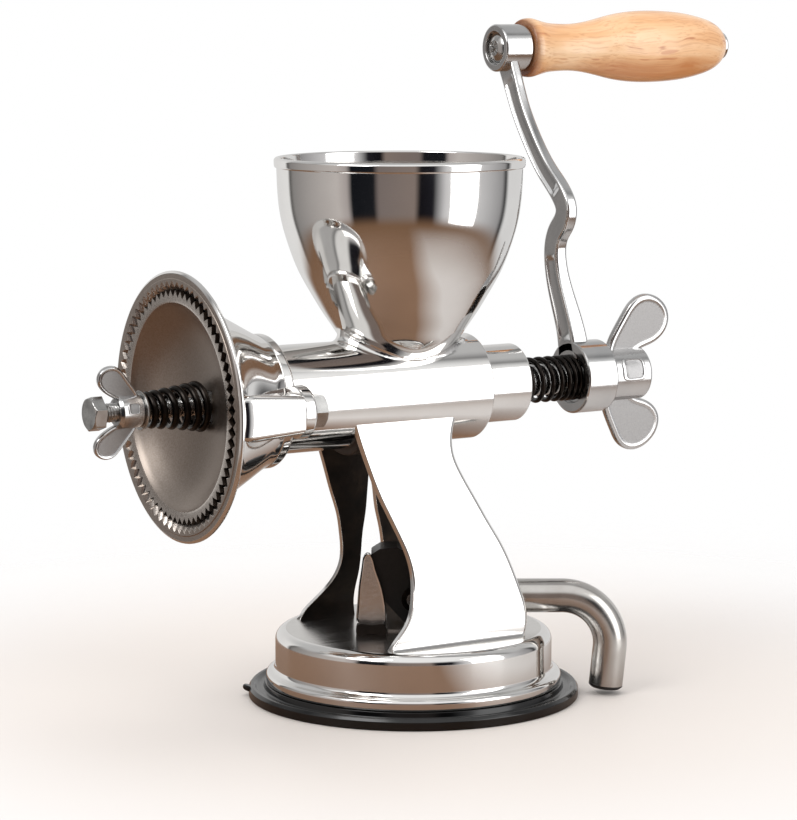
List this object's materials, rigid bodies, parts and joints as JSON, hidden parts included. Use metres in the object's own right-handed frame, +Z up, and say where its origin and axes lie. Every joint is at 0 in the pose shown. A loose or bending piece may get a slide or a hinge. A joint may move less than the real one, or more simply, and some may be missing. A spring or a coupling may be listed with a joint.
{
  "type": "hand cranked grinder",
  "caption": "Hand-cranked grinder: open hopper, level barrel, toothed bell and dish, wing-nut setting, bent crank with a wooden grip, pedestal on a suction base with a clamp lever",
  "frame": {"origin": "centre of the suction pad's underside, in the plane it stands on", "axes": "+Z up, +X along the barrel towards the crank, -Y towards the picture's near side"},
  "size_m": [0.363, 0.1464, 0.2956],
  "materials": {
    "polished_steel": "mirror polished stainless steel",
    "satin_steel": "satin, warm grey",
    "plain_steel": "satin",
    "black_spring_steel": "black oxide, oiled",
    "black_casting": "satin black",
    "rubber": "smooth black rubber",
    "wood": "turned and varnished",
    "bronze": "plain"
  },
  "bodies": {
    "base": {"hopper": "polished_steel", "barrel_housing": "polished_steel", "pedestal": "polished_steel", "base_drum": "polished_steel", "suction_pad": "rubber", "grinding_bell": "satin_steel", "bell_studs": "plain_steel", "bell_washers": "plain_steel", "bell_nuts": "plain_steel", "rear_collar": "polished_steel", "rear_bushing": "bronze", "thrust_washer": "plain_steel", "spring_washer": "plain_steel", "cam_wear_plate": "plain_steel", "cam_guide": "plain_steel", "stud_guide": "bronze"},
    "crank": {"feed_screw": "plain_steel", "adjusting_bolt": "plain_steel", "crank_arm": "plain_steel", "rear_spring": "black_spring_steel", "cone_spring": "black_spring_steel", "grip_spindle": "plain_steel", "spindle_screw": "plain_steel"},
    "cone": {"grinding_cone": "satin_steel"},
    "front_washer": {"front_washer": "plain_steel"},
    "front_nut": {"front_wing_nut": "polished_steel"},
    "rear_washer": {"rear_washer": "plain_steel"},
    "rear_nut": {"rear_wing_nut": "polished_steel"},
    "grip": {"wooden_grip": "wood", "grip_lining": "bronze", "grip_end_cap": "polished_steel"},
    "stud": {"pull_stud": "plain_steel", "pad_plate": "plain_steel", "lever_pivot_pin": "plain_steel", "pivot_clips": "plain_steel"},
    "lever": {"lever_cam": "black_casting", "lever_tube": "plain_steel", "lever_cross_pin": "plain_steel", "lever_end_cap": "plain_steel"}
  },
  "joints": [
    {"name": "crank_turn", "type": "hinge", "parent": "base", "child": "crank", "pos_m": [0.06, 0, 0.134], "axis": [1, 0, 0], "continuous": true},
    {"name": "grip_spin", "type": "hinge", "parent": "crank", "child": "grip", "pos_m": [0.15, 0.05768, 0.27894], "axis": [1, 0, 0], "continuous": true},
    {"name": "cone_float", "type": "slide", "parent": "crank", "child": "cone", "axis": [1, 0, 0], "range_m": [-0.003, 0], "stiffness_N_per_m": 4000, "springref_m": 0.004, "deforming": ["cone_spring"]},
    {"name": "front_washer_slide", "type": "slide", "parent": "crank", "child": "front_washer", "axis": [1, 0, 0], "range_m": [-0.0025, 0.0025], "deforming": ["cone_spring"]},
    {"name": "front_nut_turn", "type": "hinge", "parent": "front_washer", "child": "front_nut", "pos_m": [-0.136, 0, 0.134], "axis": [1, 0, 0], "range_deg": [-720, 720]},
    {"name": "rear_washer_slide", "type": "slide", "parent": "crank", "child": "rear_washer", "axis": [1, 0, 0], "range_m": [0, 0.00525]},
    {"name": "rear_nut_turn", "type": "hinge", "parent": "rear_washer", "child": "rear_nut", "pos_m": [0.11, 0, 0.134], "axis": [1, 0, 0], "range_deg": [0, 1080]},
    {"name": "pad_lift", "type": "slide", "parent": "base", "child": "stud", "axis": [0, 0, 1], "range_m": [-0.003, 0], "deforming": ["suction_pad"]},
    {"name": "lever_swing", "type": "hinge", "parent": "stud", "child": "lever", "pos_m": [0, 0, 0.0434], "axis": [-0.518, -0.8554, 0], "range_deg": [0, 45]}
  ],
  "couplings": [
    {"joint": "front_washer_slide", "follows": "front_nut_turn", "m_per_rad": 0.00019894},
    {"joint": "rear_washer_slide", "follows": "rear_nut_turn", "m_per_rad": 0.00027852},
    {"joint": "pad_lift", "follows": "lever_swing", "m_per_rad": -0.0038197}
  ]
}
